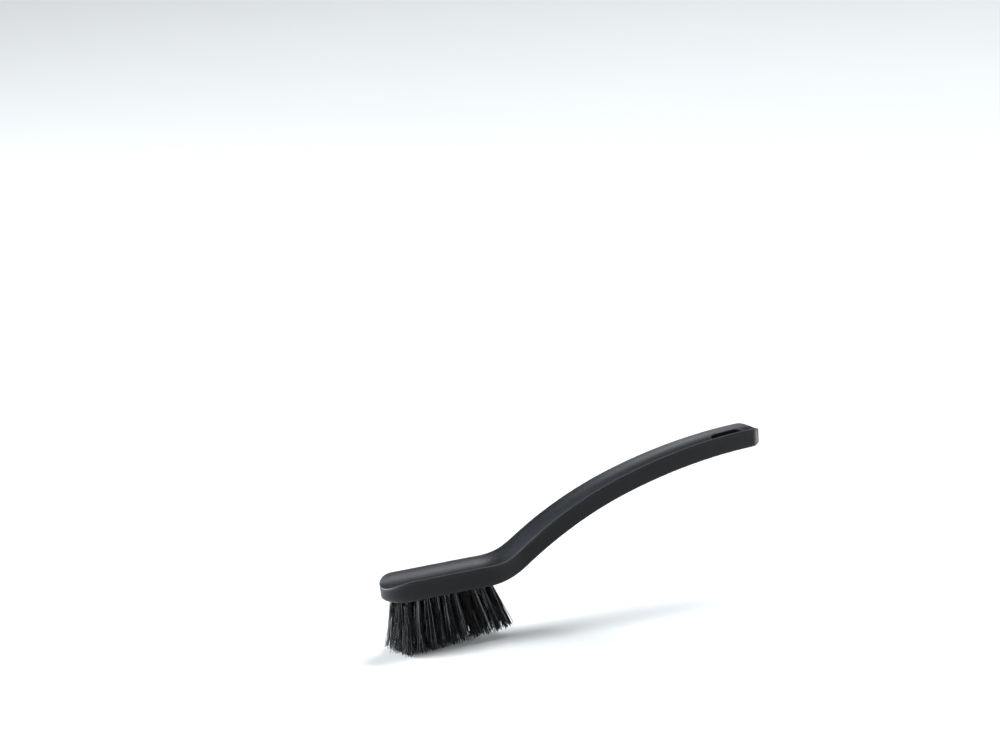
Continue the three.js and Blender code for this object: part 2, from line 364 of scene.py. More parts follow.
profile = wall_profile()
wall_x = stations[:, None, 0] - profile[..., 0] * stations[:, None, 2]
wall_y = stations[:, None, 1] - profile[..., 0] * stations[:, None, 3]
wall_y[[0, -1]] = 0
near_wall = to_row(wall_x, -wall_y, profile[..., 1])
far_wall = near_wall * (1, -1, 1)
print("walls", near_wall.shape, "lowest", round(float(near_wall[..., 2].min()), 5))

# %% [markdown]
# ## Channel, underside and slot
# The top and the underside are filled from the walls to the middle line, or to the edge of the slot where
# the slot is. The slot's edge is an oval with the same corner rounding at the top and at the bottom.


# %% Channel, underside and slot
def slot_half_width(x):
    """Half width of the slot with its rounded edge: a circle's height at each end, and level between them."""
    radius = SLOT_HALF + SLOT_EDGE
    middle = np.clip(x, SLOT_FROM - SLOT_EDGE + radius, SLOT_TO + SLOT_EDGE - radius)
    return np.sqrt(np.clip(radius**2 - (x - middle) ** 2, 0, None)), (x - middle) / radius


def half_sheet(edge_column, offset_of, side):
    """One half of the top or underside: rows along the brush, columns from the middle or slot to the wall."""
    x, y = wall_x[:, edge_column], wall_y[:, edge_column]
    inner, _ = slot_half_width(x)
    inner = np.minimum(inner, y)
    across = inner[:, None] + (y - inner)[:, None] * np.linspace(0, 1, ACROSS + 1)
    sheet = to_row(x[:, None], side * across, offset_of(across))
    sheet[:, -1] = (near_wall if side < 0 else far_wall)[:, edge_column]
    return sheet


def slot_ring(side):
    """The slot's wall on one side: over its top edge, down, and under its bottom edge."""
    x = wall_x[:, 0]
    half, out_x = slot_half_width(x)
    rows = np.flatnonzero((x >= SLOT_FROM - SLOT_EDGE - 1e-9) & (x <= SLOT_TO + SLOT_EDGE + 1e-9))
    x, half, out_x = x[rows], half[rows], out_x[rows]
    out_y = np.sqrt(np.clip(1 - out_x**2, 0, None))
    turn = np.linspace(0, math.pi / 2, 6)
    top = channel_height(half, channel[rows])[:, None]
    foot = -web[rows][:, None]
    inward = SLOT_EDGE * np.concatenate([np.sin(turn), np.ones(5), np.cos(turn)])
    down = SLOT_EDGE * (1 - np.cos(turn))
    wall = np.linspace(0, 1, 7)[1:-1]
    edge_top, edge_foot = top - SLOT_EDGE, foot + SLOT_EDGE
    offset = np.concatenate([top - down, edge_top + (edge_foot - edge_top) * wall, foot + down[::-1]], 1)
    ring_x = x[:, None] - out_x[:, None] * inward
    ring_y = half[:, None] - out_y[:, None] * inward
    return to_row(ring_x, side * np.maximum(ring_y, 0), offset)


PLAIN_FOOT_START = 86 * MM  # outline position past the last bristles
first = int(np.argmax(wall_x[:, -1] > PLAIN_FOOT_START))
tops = [half_sheet(0, lambda y: channel_height(y, channel[:, None]), side) for side in (-1, 1)]
feet = [half_sheet(-1, lambda y: np.broadcast_to(-web[:, None], y.shape), side)[first:] for side in (-1, 1)]
slots = [slot_ring(side) for side in (-1, 1)]
print("channel", tops[0].shape, "foot", feet[0].shape, "slot", slots[0].shape)

# %% [markdown]
# ## Where the tufts stand
# The head is drilled for three rows of tufts, one row down the middle and one near each side. From the
# tip to the handle the holes tip over more and more, so that the last tufts sweep back. The two outer
# rows also lean outwards a little, and the centre row starts nearer the tip. Each tuft gets a frame of
# its own, whose third axis runs up its hole.

# %% Tuft frames
ROWS = {"near": (-1, 10, 0.0), "centre": (0, 9, 1.2 * MM), "far": (1, 10, 0.0)}  # side, count, lead
FIRST_TUFT, LAST_TUFT, ROW_SPACING = 14.5 * MM, 81.3 * MM, 9.4 * MM
FRONT_LEAN, REAR_LEAN, SPLAY = math.radians(-1), math.radians(23.5), math.radians(1.5)
FRONT_TRIM, REAR_TRIM = 38.5 * MM, 35 * MM
HOLE_RADIUS, HOLE_DEPTH = 1.8 * MM, 6.6 * MM
HOLE_GAP = 0.3 * MM  # from the top of a tuft to the bottom of its hole


def tuft_frames():
    """Per tuft: name, share of the way back, side, length and a matrix, tilted about Y, then about X."""
    found = []
    for row, (side, count, lead) in ROWS.items():
        for i in range(count):
            share = i / (count - 1)
            lean = FRONT_LEAN + (REAR_LEAN - FRONT_LEAN) * share
            splay = side * SPLAY
            about_y = np.array([
                [math.cos(lean), 0, -math.sin(lean)], [0, 1, 0], [math.sin(lean), 0, math.cos(lean)],
            ])
            about_x = np.array([
                [1, 0, 0], [0, math.cos(splay), -math.sin(splay)], [0, math.sin(splay), math.cos(splay)],
            ])
            matrix = np.eye(4)
            matrix[:3, :3] = about_x @ about_y
            x = HEAD_TIP + FIRST_TUFT - lead + (LAST_TUFT - FIRST_TUFT + lead) * share
            matrix[:3, 3] = x, side * ROW_SPACING, UNDERSIDE
            length = FRONT_TRIM + (REAR_TRIM - FRONT_TRIM) * share
            found.append((f"{row}_{i + 1:02d}", share, side, length, matrix))
    return found


def place(points, matrix):
    """Moves points from a tuft's own frame into the shared one."""
    return points @ matrix[:3, :3].T + matrix[:3, 3]


tufts = tuft_frames()
misfit = max(
    (place(np.array([0, 0, HOLE_DEPTH - HOLE_GAP]), matrix)[2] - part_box("tuft_" + name)[1].z)
    for name, _, _, _, matrix in tufts
)
print(len(tufts), "tufts; tops differ from the frame's by at most", round(misfit / MM, 2), "mm")

# %% [markdown]
# ## Drilled underside
# The face between the walls is pierced by 29 round holes, so a plain grid can't cover it. It is filled with
# triangles between the outline, the hole mouths and a loose net of points. Each hole has a slightly broken
# edge, a straight wall along its own axis and a shallow drill point at its bottom.

# %% Drilled underside
MOUTH_BREAK = 0.12 * MM
HOLE_SIDES = 28
NET_STEP = 1.6 * MM
EDGE_GAP, MOUTH_GAP = 0.7 * MM, 0.9 * MM  # the net's points stay this far from the outline and the mouths
DRILL_CORNER, DRILL_POINT = 0.2 * MM, 0.3 * MM


def hole_rings(matrix):
    """Rings of one hole, mouth first: circles round the tuft's axis, the mouth's slid down to the face."""
    turn = np.linspace(0, 2 * math.pi, HOLE_SIDES, endpoint=False)
    circle = np.stack([np.cos(turn), np.sin(turn), 0 * turn], -1)
    steps = [
        (HOLE_RADIUS + MOUTH_BREAK, 0.0), (HOLE_RADIUS, MOUTH_BREAK),
        (HOLE_RADIUS, HOLE_DEPTH - DRILL_CORNER), (0.82 * HOLE_RADIUS, HOLE_DEPTH),
        (0, HOLE_DEPTH + DRILL_POINT),
    ]
    rings = np.array([place(circle * radius + (0, 0, up), matrix) for radius, up in steps])
    axis = matrix[:3, 2]
    for level in (0, 1):
        rings[level] += axis * ((UNDERSIDE + steps[level][1] - rings[level][:, 2]) / axis[2])[:, None]
    return rings


def underside_patch():
    """Fills the drilled face: a net of triangles over outline position and Y, lifted onto the foot."""
    edge_x, edge_y = wall_x[: first + 1, -1], wall_y[: first + 1, -1]
    across = edge_y[-1] * np.linspace(1, -1, 2 * ACROSS + 1)[1:-1]
    loop = np.concatenate([
        np.stack([edge_x, edge_y], 1),
        np.stack([np.full(len(across), edge_x[-1]), across], 1),
        np.stack([edge_x, -edge_y], 1)[:0:-1],
    ])
    fixed = np.concatenate([
        far_wall[: first + 1, -1],
        feet[1][0, ACROSS - 1:0:-1], feet[0][0, :ACROSS],
        near_wall[: first + 1, -1][:0:-1],
    ])
    mouths = np.array([hole_rings(matrix)[0] for *_, matrix in tufts])
    flat_mouths = np.stack([mouths[..., 0] - HEAD_TIP, mouths[..., 1]], -1)
    net_x, net_y = np.arange(OUTLINE_TIP, edge_x[-1], NET_STEP), np.arange(-HEAD_HALF, HEAD_HALF, NET_STEP)
    net = np.stack(np.meshgrid(net_x, net_y), -1).reshape(-1, 2)
    limit = np.interp(net[:, 0], edge_x, edge_y) - EDGE_GAP
    centres = flat_mouths.mean(1)
    clear = np.linalg.norm(net[:, None] - centres[None], axis=-1).min(1) > HOLE_RADIUS + MOUTH_GAP
    inside = (np.abs(net[:, 1]) < limit) & (net[:, 0] < edge_x[-1] - EDGE_GAP)
    inside &= net[:, 0] > edge_x[0] + EDGE_GAP
    net = net[clear & inside]
    flat = np.concatenate([loop, flat_mouths.reshape(-1, 2), net]) / MM
    ring = np.arange(len(loop))
    edges = np.stack([ring, np.roll(ring, -1)], 1).tolist()
    for hole in range(len(tufts)):
        ring = len(loop) + hole * HOLE_SIDES + np.arange(HOLE_SIDES)
        edges += np.stack([ring, np.roll(ring, -1)], 1).tolist()
    _, _, threes, inputs, *_ = delaunay_2d_cdt([Vector(p) for p in flat], edges, [], 0, 1e-6)
    threes = np.array([group[0] for group in inputs])[np.array(threes)]
    middle = flat[threes].mean(1) * MM
    on_mouth = threes < len(loop) + len(mouths) * HOLE_SIDES
    owner = np.where(on_mouth, (threes - len(loop)) // HOLE_SIDES, -1)
    in_hole = (owner >= 0).all(1) & (owner == owner[:, :1]).all(1)
    in_outline = np.abs(middle[:, 1]) < np.interp(middle[:, 0], edge_x, edge_y)
    in_outline &= middle[:, 0] < edge_x[-1]
    threes = threes[~in_hole & in_outline]
    free = flat[len(loop):] * MM
    line = np.interp(free[:, 0], [OUTLINE_TIP, OUTLINE_END], [0, LENGTH])
    lifted = to_row(free[:, 0], free[:, 1], -web_at(line))
    return np.concatenate([fixed, lifted]), threes, len(loop)


drilled, drilled_threes, loop_size = underside_patch()
holes = []
for number, (*_, matrix) in enumerate(tufts):
    rings = hole_rings(matrix)
    start = loop_size + number * HOLE_SIDES
    rings[0] = drilled[start:start + HOLE_SIDES]
    holes.append(np.concatenate([rings, rings[:, :1]], 1))
print("underside", len(drilled), "points,", len(drilled_threes), "triangles,", len(holes), "holes")

# %% [markdown]
# ## One-piece block and handle
# On the real brush this is a single shot of plastic, so all its patches are joined into one closed skin.
# Two values are then stored on its points for the finish. One says how much of the fine grain a point has,
# which is all of it where the surface faces up; it also makes those faces paler, partly as painted light from
# above. The other says how sharply the surface bends outwards there, because that is where hands and hooks
# rub the plastic; it also makes those edges paler, partly as a painted highlight along the rims.

# %% Block and handle
body = mesh_object(
    "block_and_handle",
    [near_wall, far_wall, *tops, *feet, *slots, *holes],
    [(drilled, drilled_threes)],
)


def point_values(mesh):
    """Positions and outward directions of a mesh's points, as two arrays."""
    points, normals = np.empty(len(mesh.vertices) * 3), np.empty(len(mesh.vertices) * 3)
    mesh.vertices.foreach_get("co", points)
    mesh.vertex_normals.foreach_get("vector", normals)
    return points.reshape(-1, 3), normals.reshape(-1, 3)


def store(mesh, name, values):
    """Keeps one number per point on the mesh, for its material to read."""
    mesh.attributes.new(name, "FLOAT", "POINT").data.foreach_set("value", np.asarray(values, "f"))


def outward_bend(mesh):
    """Bend at each point, per metre: turn of the normal along each edge over its length, averaged."""
    points, normals = point_values(mesh)
    pairs = np.empty(len(mesh.edges) * 2, int)
    mesh.edges.foreach_get("vertices", pairs)
    one, two = pairs.reshape(-1, 2).T
    step = points[two] - points[one]
    bend = ((normals[two] - normals[one]) * step).sum(1) / (step**2).sum(1)
    weight = np.linalg.norm(step, axis=1)
    total, count = np.zeros(len(points)), np.zeros(len(points))
    for end in (one, two):
        np.add.at(total, end, bend * weight)
        np.add.at(count, end, weight)
    return total / count


GRAIN_AND_LIGHT_FROM, GRAIN_AND_LIGHT_FULL = 0.15, 0.55  # upward part of the surface's direction
SHARP_BEND = 700  # per metre, from which an edge is fully worn and carries the full painted highlight
up_facing = point_values(body.data)[1][:, 2]
# Up-facing points get the grain and a paler colour: the grain is real, and the paler colour is partly painted
# light from above.
store(body.data, "grain_and_top_light", smooth_step(up_facing, GRAIN_AND_LIGHT_FROM, GRAIN_AND_LIGHT_FULL))
# Sharply bent outer edges are stored here to be made paler: partly rubbing wear, partly a painted highlight
# along the rims.
store(body.data, "edge_wear_and_highlight", np.clip(outward_bend(body.data) / SHARP_BEND, 0, 1))
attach(body, "root")
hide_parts("block_handle")
print("block and handle", len(body.data.polygons), "faces")

# %% [markdown]
# ## Bristles
# A tuft is a bundle of filaments, each folded in two over a strip of metal and pushed into its hole, so
# both ends of every filament stick out. A solid brush shape with a hair texture would look like felt from
# close by, so each filament is a thin tube of its own, with a few dozen faces. Its path goes from one tip
# up its own side of the metal strip, over the top and down to the other tip. Outside the hole the two
# legs spread, cling together in locks, bend a little by chance and end at an uneven trim. The front tufts
# are loose and wavy from use and the back ones are straighter.

# %% Filament paths
FILAMENTS, FILAMENT_RADIUS = 50, 0.16 * MM
BUNDLE_RADIUS = 1.62 * MM
TUFT_SPREAD = 3.9 * MM  # how wide a tuft is at its tips, from its middle
ANCHOR_LENGTH, ANCHOR_HEIGHT, ANCHOR_THICKNESS, ANCHOR_SEAT = 4.6 * MM, 1.6 * MM, 0.5 * MM, 1 * MM
ANCHOR_TOP = HOLE_DEPTH - HOLE_GAP - ANCHOR_SEAT
FREE_POINTS = 5
LOCKS = 7  # strands that the legs on one side of a tuft cling together in
rng = np.random.default_rng(29)


def packed_half_disc(count):
    """Evenly packed places on one side of the anchor: a sunflower spiral, folded onto that side."""
    turn = np.arange(2 * count) * math.pi * (3 - math.sqrt(5))
    radius = BUNDLE_RADIUS * np.sqrt((np.arange(2 * count) + 0.5) / (2 * count))
    x, y = radius * np.cos(turn), radius * np.sin(turn)
    near_anchor = ANCHOR_THICKNESS / 2 + FILAMENT_RADIUS
    chosen = np.argsort(-y)[:count]
    x, y = x[chosen], y[chosen]
    return x, near_anchor + y * (1 - near_anchor / BUNDLE_RADIUS)


def leg(x, y, share, length):
    """Free part of one leg: its root moved out as depth to the power 0.8, plus a bend of its own and one of
    its lock, both growing as depth squared, plus a wave, down to an uneven trim."""
    count = len(x)
    t = np.linspace(0, 1, FREE_POINTS + 1)[1:][None, :]
    loose = 1 - 0.62 * smooth_step(np.array(share), 0.05, 0.6)
    spread = (TUFT_SPREAD / BUNDLE_RADIUS - 1) * rng.uniform(0.6, 1.3, (count, 1))
    bend = rng.normal(0, 0.55 * MM, (2, count, 1)) * (0.5 + 0.5 * loose)
    lock = rng.normal(0, 0.85 * MM, (2, LOCKS, 1)) * (0.5 + 0.5 * loose)
    bend += lock[:, rng.integers(0, LOCKS, count)]
    stray = rng.random((1, count, 1)) < 0.05
    bend = np.where(stray, bend * 2.6, bend)
    wave = rng.uniform(0.1, 0.5, (2, count, 1)) * MM * loose
    phase = rng.uniform(0, 2 * math.pi, (2, count, 1))
    turns = rng.uniform(1.0, 2.1, (1, count, 1))
    sideways = bend * t**2 + wave * t * np.sin(2 * math.pi * turns * t + phase)
    out = 1 + spread * t**0.8
    trim = length + rng.normal(-0.9 * MM, 0.45 * MM, (count, 1))
    trim -= np.where(rng.random((count, 1)) < 0.06, rng.uniform(1 * MM, 4 * MM, (count, 1)), 0)
    return np.stack([x[:, None] * out + sideways[0], y[:, None] * out + sideways[1], -trim * t], -1)


def filament_paths(share, length):
    """All filament paths of one tuft in its own frame: leg, mouth, side of the anchor, crown, and down."""
    x, y = packed_half_disc(FILAMENTS)
    x = x + rng.normal(0, 0.05 * MM, FILAMENTS)
    crown = ANCHOR_TOP + FILAMENT_RADIUS + 0.8 * ANCHOR_SEAT * (y - y.min()) / np.ptp(y)
    zero = np.zeros(FILAMENTS)
    one = leg(x, y, share, length)[:, ::-1]
    two = leg(x, -y, share, length)
    fixed = np.stack([
        np.stack([x, y, zero], -1), np.stack([x, y, zero + ANCHOR_TOP - 0.3 * MM], -1),
        np.stack([x, zero, crown], -1),
        np.stack([x, -y, zero + ANCHOR_TOP - 0.3 * MM], -1), np.stack([x, -y, zero], -1),
    ], 1)
    return np.concatenate([one, fixed, two], 1)


def tubes(paths, radius, sides):
    """Grids round paths: at each point a ring square to the path, turned from one fixed side direction."""
    along = np.gradient(paths, axis=1)
    along /= np.linalg.norm(along, axis=-1, keepdims=True)
    first_side = np.cross(along, np.array([1.0, 0, 0]))
    first_side /= np.linalg.norm(first_side, axis=-1, keepdims=True)
    second_side = np.cross(along, first_side)
    turn = np.linspace(0, 2 * math.pi, sides, endpoint=False)
    ring = first_side[:, :, None] * np.cos(turn)[:, None] + second_side[:, :, None] * np.sin(turn)[:, None]
    return paths[:, :, None] + ring * radius


def tube_faces(count, rings, sides):
    """Quads of many tubes at once, with one face over each end."""
    ring, side = np.meshgrid(np.arange(rings - 1), np.arange(sides), indexing="ij")
    nxt = (side + 1) % sides
    here, above = ring * sides, (ring + 1) * sides
    quads = np.stack([here + side, here + nxt, above + nxt, above + side], -1)
    ends = np.stack([np.arange(sides)[::-1], (rings - 1) * sides + np.arange(sides)])
    one = np.concatenate([quads.reshape(-1, 4), ends])
    return (one[None] + np.arange(count)[:, None, None] * rings * sides).reshape(-1, 4)


# %% [markdown]
# One mesh per tuft keeps the tufts separate, as they are when the brush is made. Two values are stored on
# the points: a random shade for each filament, and how far down the free length a point is. The longest
# tips are cut level just above the floor, as they would be if the brush stood on it.

# %% Tufts
SIDES = 4
TIP_GAP = 0.05 * MM  # the longest tips are cut level, this far above the floor


def make_tuft(name, share, length, matrix):
    """One tuft of filaments as a single mesh in the shared frame."""
    paths = filament_paths(share, length)
    grid = tubes(paths, FILAMENT_RADIUS, SIDES)
    count, rings = paths.shape[:2]
    points = place(grid.reshape(-1, 3), matrix)
    points[:, 2] = np.maximum(points[:, 2], cad_low.z + TIP_GAP)
    mesh = bpy.data.meshes.new("bristles_" + name)
    mesh.from_pydata(points, [], tube_faces(count, rings, SIDES).tolist())
    mesh.shade_smooth()
    store(mesh, "shade", np.repeat(rng.random(count), rings * SIDES))
    depth = np.clip(-grid[..., 2] / length, 0, 1)
    store(mesh, "down", depth.ravel())
    tuft = bpy.data.objects.new("bristles_" + name, mesh)
    bpy.context.scene.collection.objects.link(tuft)
    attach(tuft, "root")
    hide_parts("tuft_" + name)
    return tuft


bristles = [make_tuft(name, share, length, matrix) for name, share, _, length, matrix in tufts]
print(len(bristles), "tufts of", len(bristles[0].data.polygons), "faces each")

# %% [markdown]
# ## Anchors
# Each tuft is held by a short piece of flat wire, cut off as the tuft is driven in. Its ends are cut to a
# blunt wedge, so that they bite into the wall of the hole. It is a rounded strip whose section thins
# towards both ends.

# %% Anchors
SECTION_POINTS, STRIP_STATIONS = 20, 13


def anchor_grid():
    """Strip along X: a squared-off oval section, powers of cosine and sine, thinned towards both ends."""
    turn = np.linspace(0, 2 * math.pi, SECTION_POINTS + 1)
    across = np.sign(np.cos(turn)) * np.abs(np.cos(turn)) ** 0.35
    up = np.sign(np.sin(turn)) * np.abs(np.sin(turn)) ** 0.35
    share = np.concatenate([[-1], np.linspace(-1, 1, STRIP_STATIONS), [1]])[:, None]
    wedge = 1 - 0.45 * smooth_step(np.abs(share), 0.82, 1)
    wedge[[0, -1]] = 0
    height = np.where(wedge > 0, 1 - 0.12 * smooth_step(np.abs(share), 0.9, 1), 0)
    return np.stack([
        share * ANCHOR_LENGTH / 2 + 0 * across,
        across * wedge * ANCHOR_THICKNESS / 2,
        ANCHOR_TOP - ANCHOR_HEIGHT / 2 + up * height * ANCHOR_HEIGHT / 2,
    ], -1)


def make_anchor(name, matrix):
    """One anchor in the shared frame."""
    anchor = mesh_object("wire_anchor_" + name, [place(anchor_grid(), matrix)])
    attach(anchor, "root")
    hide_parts("anchor_" + name)
    return anchor


anchors = [make_anchor(name, matrix) for name, *_, matrix in tufts]
print(len(anchors), "anchors of", len(anchors[0].data.polygons), "faces each")

# %% [markdown]
# ## Black moulded plastic
# The plastic is black all through, so a flat black would be right for its colour but dead to look at. What
# the eye reads is the finish: a very fine spark-eroded grain in the channel where the thumb rests, smoother
# walls, and paler edges where hands and hooks rub, which are also partly a painted highlight along the rims.
# The grain is a bump from fine noise, whose pits are also paler and rougher, and roughness and colour shift
# slightly over centimetres, as handled plastic does. The paler colour of up-facing faces is partly the grain
# and partly painted light from above.

# %% Material helpers


def new_material(name):
    """An empty node material with its shader, and short ways to add nodes and to join sockets."""
    material = bpy.data.materials.new(name)
    material.use_nodes = True
    tree = material.node_tree
    shader = tree.nodes["Principled BSDF"]

    def node(kind, **values):
        made = tree.nodes.new(kind)
        for key, value in values.items():
            if key in made.inputs:
                made.inputs[key].default_value = value
            else:
                setattr(made, key, value)
        return made

    return material, shader, node, tree.links.new


def number_ramp(node, link, source, points):
    """Turns a number into another by straight lines between (in, out) points, as a grey colour ramp."""
    ramp = node("ShaderNodeValToRGB")
    ramp.color_ramp.elements.remove(ramp.color_ramp.elements[1])
    for i, (at, value) in enumerate(points):
        stop = ramp.color_ramp.elements[0] if i == 0 else ramp.color_ramp.elements.new(at)
        stop.position, stop.color = at, (value, value, value, 1)
    link(source, ramp.inputs["Fac"])
    return ramp.outputs["Color"]


# %% Moulded plastic
def moulded_plastic():
    """Black plastic with fine grain on top, smoother walls and slightly worn edges; the paler edges are partly a
    painted highlight and the paler top partly painted light from above.
    """
    material, shader, node, link = new_material("black moulded plastic")
    place_node = node("ShaderNodeTexCoord").outputs["Object"]
    grain_and_top_light_mask = node("ShaderNodeAttribute", attribute_name="grain_and_top_light").outputs["Fac"]
    edge_wear_and_highlight = node("ShaderNodeAttribute", attribute_name="edge_wear_and_highlight").outputs["Fac"]
    grain_and_top_light = node("ShaderNodeTexNoise", Scale=1050.0, Detail=3.0, Roughness=0.6)
    cloud = node("ShaderNodeTexNoise", Scale=38.0, Detail=3.0, Roughness=0.5)
    scuff_and_highlight_patches = node("ShaderNodeTexNoise", Scale=520.0, Detail=4.0, Roughness=0.7)
    for texture in (grain_and_top_light, cloud, scuff_and_highlight_patches):
        link(place_node, texture.inputs["Vector"])
    paler = node("ShaderNodeMath", operation="MULTIPLY_ADD")
    paler.inputs[1].default_value = 0.3
    link(cloud.outputs["Fac"], paler.inputs[0])
    pits = number_ramp(node, link, grain_and_top_light.outputs["Fac"], [(0.40, 0.25), (0.60, 1.0)])
    grain_and_top_light_share = node("ShaderNodeMath", operation="MULTIPLY")
    link(grain_and_top_light_mask, grain_and_top_light_share.inputs[0])
    link(pits, grain_and_top_light_share.inputs[1])
    link(grain_and_top_light_share.outputs["Value"], paler.inputs[2])
    # Tint from the dark walls to the paler top: random cloud variation, plus paler pits on up-facing faces,
    # which are partly the grain and partly painted light from above.
    tint = node("ShaderNodeMix", data_type="RGBA")
    tint.inputs["A"].default_value = (0.0026, 0.0028, 0.0038, 1)
    tint.inputs["B"].default_value = (0.0165, 0.0172, 0.0200, 1)
    link(paler.outputs["Value"], tint.inputs["Factor"])
    wear_and_highlight_share = node("ShaderNodeMath", operation="MULTIPLY")
    link(edge_wear_and_highlight, wear_and_highlight_share.inputs[0])
    link(scuff_and_highlight_patches.outputs["Fac"], wear_and_highlight_share.inputs[1])
    # Paler colour on sharply bent edges: partly rubbing wear, partly a painted highlight along the rims.
    lightened = node("ShaderNodeMix", data_type="RGBA")
    lightened.inputs["B"].default_value = (0.150, 0.154, 0.165, 1)
    link(tint.outputs["Result"], lightened.inputs["A"])
    link(wear_and_highlight_share.outputs["Value"], lightened.inputs["Factor"])
    link(lightened.outputs["Result"], shader.inputs["Base Color"])
    rough = node("ShaderNodeMapRange", **{"To Min": 0.30, "To Max": 0.31})
    link(grain_and_top_light_mask, rough.inputs["Value"])
    uneven = node("ShaderNodeMath", operation="MULTIPLY_ADD")
    uneven.inputs[1].default_value = 0.08
    link(cloud.outputs["Fac"], uneven.inputs[0])
    link(rough.outputs["Result"], uneven.inputs[2])
    pitted = node("ShaderNodeMath", operation="MULTIPLY_ADD")
    pitted.inputs[1].default_value = 0.12
    link(grain_and_top_light_share.outputs["Value"], pitted.inputs[0])
    link(uneven.outputs["Value"], pitted.inputs[2])
    link(pitted.outputs["Value"], shader.inputs["Roughness"])
    strength = node("ShaderNodeMapRange", **{"To Min": 0.10, "To Max": 0.75})
    link(grain_and_top_light_mask, strength.inputs["Value"])
    bump = node("ShaderNodeBump", Distance=0.00020)
    link(strength.outputs["Result"], bump.inputs["Strength"])
    link(grain_and_top_light.outputs["Fac"], bump.inputs["Height"])
    link(bump.outputs["Normal"], shader.inputs["Normal"])
    shader.inputs["Specular IOR Level"].default_value = 0.18
    return material


body.data.materials.append(moulded_plastic())
print("body finish:", body.data.materials[0].name)

# %% [markdown]
# ## Filament and anchor finishes
# Drawn filament is glossier than the moulding, and each one catches the light differently. A fine ripple,
# the crimp, runs along it. The last few millimetres are scratched by use and look greyer. The anchors are
# bright zinc with fine lines along the wire.

# %% Filament and metal
CRIMP_LENGTH = 1.5 * MM
CRIMP_TURN = 2 * math.pi * FRONT_TRIM / CRIMP_LENGTH
CRIMP_SHIFT = 40.0  # radians from the lowest shade to the highest, so that the ripples don't line up


def filament_plastic():
    """Glossy black filament: shade differs from one filament to the next, and tips are paler and rougher."""
    material, shader, node, link = new_material("black drawn filament")
    shade = node("ShaderNodeAttribute", attribute_name="shade").outputs["Fac"]
    down = node("ShaderNodeAttribute", attribute_name="down").outputs["Fac"]
    tone = node("ShaderNodeValToRGB")
    tone.color_ramp.elements[0].color = (0.0012, 0.0012, 0.0015, 1)
    tone.color_ramp.elements[0].position = 0.7
    tone.color_ramp.elements[1].color = (0.300, 0.302, 0.310, 1)
    middle = tone.color_ramp.elements.new(0.86)
    middle.color = (0.012, 0.012, 0.014, 1)
    link(shade, tone.inputs["Fac"])
    tip = number_ramp(node, link, down, [(0.0, 0.0), (0.86, 0.0), (1.0, 0.65)])
    lightened = node("ShaderNodeMix", data_type="RGBA")
    lightened.inputs["B"].default_value = (0.030, 0.030, 0.032, 1)
    link(tip, lightened.inputs["Factor"])
    link(tone.outputs["Color"], lightened.inputs["A"])
    link(lightened.outputs["Result"], shader.inputs["Base Color"])
    streak = node("ShaderNodeTexNoise", Scale=900.0, Detail=2.0)
    link(node("ShaderNodeTexCoord").outputs["Object"], streak.inputs["Vector"])
    rough = node("ShaderNodeMath", operation="MULTIPLY_ADD")
    rough.inputs[1].default_value = 0.16
    link(streak.outputs["Fac"], rough.inputs[0])
    link(number_ramp(node, link, down, [(0.0, 0.20), (0.8, 0.24), (1.0, 0.42)]), rough.inputs[2])
    link(rough.outputs["Value"], shader.inputs["Roughness"])
    crimp = node("ShaderNodeMath", operation="MULTIPLY_ADD")
    crimp.inputs[1].default_value = CRIMP_TURN
    offset = node("ShaderNodeMath", operation="MULTIPLY")
    offset.inputs[1].default_value = CRIMP_SHIFT
    link(shade, offset.inputs[0])
    link(down, crimp.inputs[0])
    link(offset.outputs["Value"], crimp.inputs[2])
    wave = node("ShaderNodeMath", operation="SINE")
    link(crimp.outputs["Value"], wave.inputs[0])
    bump = node("ShaderNodeBump", Strength=0.9, Distance=0.00022)
    link(wave.outputs["Value"], bump.inputs["Height"])
    link(bump.outputs["Normal"], shader.inputs["Normal"])
    shader.inputs["Specular IOR Level"].default_value = 0.25
    return material


def anchor_metal():
    """Zinc-plated flat wire: fine drawn lines change its roughness, and its colour dulls in patches."""
    material, shader, node, link = new_material("zinc-plated wire")
    place_node = node("ShaderNodeTexCoord").outputs["Object"]
    stretch = node("ShaderNodeMapping", Scale=(300.0, 6000.0, 6000.0))
    link(place_node, stretch.inputs["Vector"])
    lines = node("ShaderNodeTexNoise", Scale=1.0, Detail=3.0)
    link(stretch.outputs["Vector"], lines.inputs["Vector"])
    patches = node("ShaderNodeTexNoise", Scale=900.0, Detail=2.0)
    link(place_node, patches.inputs["Vector"])
    colour = node("ShaderNodeMix", data_type="RGBA")
    colour.inputs["A"].default_value = (0.50, 0.49, 0.46, 1)
    colour.inputs["B"].default_value = (0.70, 0.68, 0.62, 1)
    link(patches.outputs["Fac"], colour.inputs["Factor"])
    link(colour.outputs["Result"], shader.inputs["Base Color"])
    link(number_ramp(node, link, lines.outputs["Fac"], [(0.0, 0.22), (1.0, 0.5)]), shader.inputs["Roughness"])
    bump = node("ShaderNodeBump", Strength=0.3, Distance=0.00002)
    link(lines.outputs["Fac"], bump.inputs["Height"])
    link(bump.outputs["Normal"], shader.inputs["Normal"])
    shader.inputs["Metallic"].default_value = 1.0
    return material


black_filament, zinc = filament_plastic(), anchor_metal()
for tuft in bristles:
    tuft.data.materials.append(black_filament)
for anchor in anchors:
    anchor.data.materials.append(zinc)
print("finishes:", black_filament.name, "and", zinc.name)

# %% [markdown]
# ## Floor, light and background
# Black plastic shows its shape only through what it mirrors, so the lights are placed for their reflections.
# A broad soft light above draws the long bright band down the channel. One on the left picks out the tip of
# the head, one at the front left the bristles, and a small one low on the right the end of the handle. The
# plain white floor fills the walls from below.

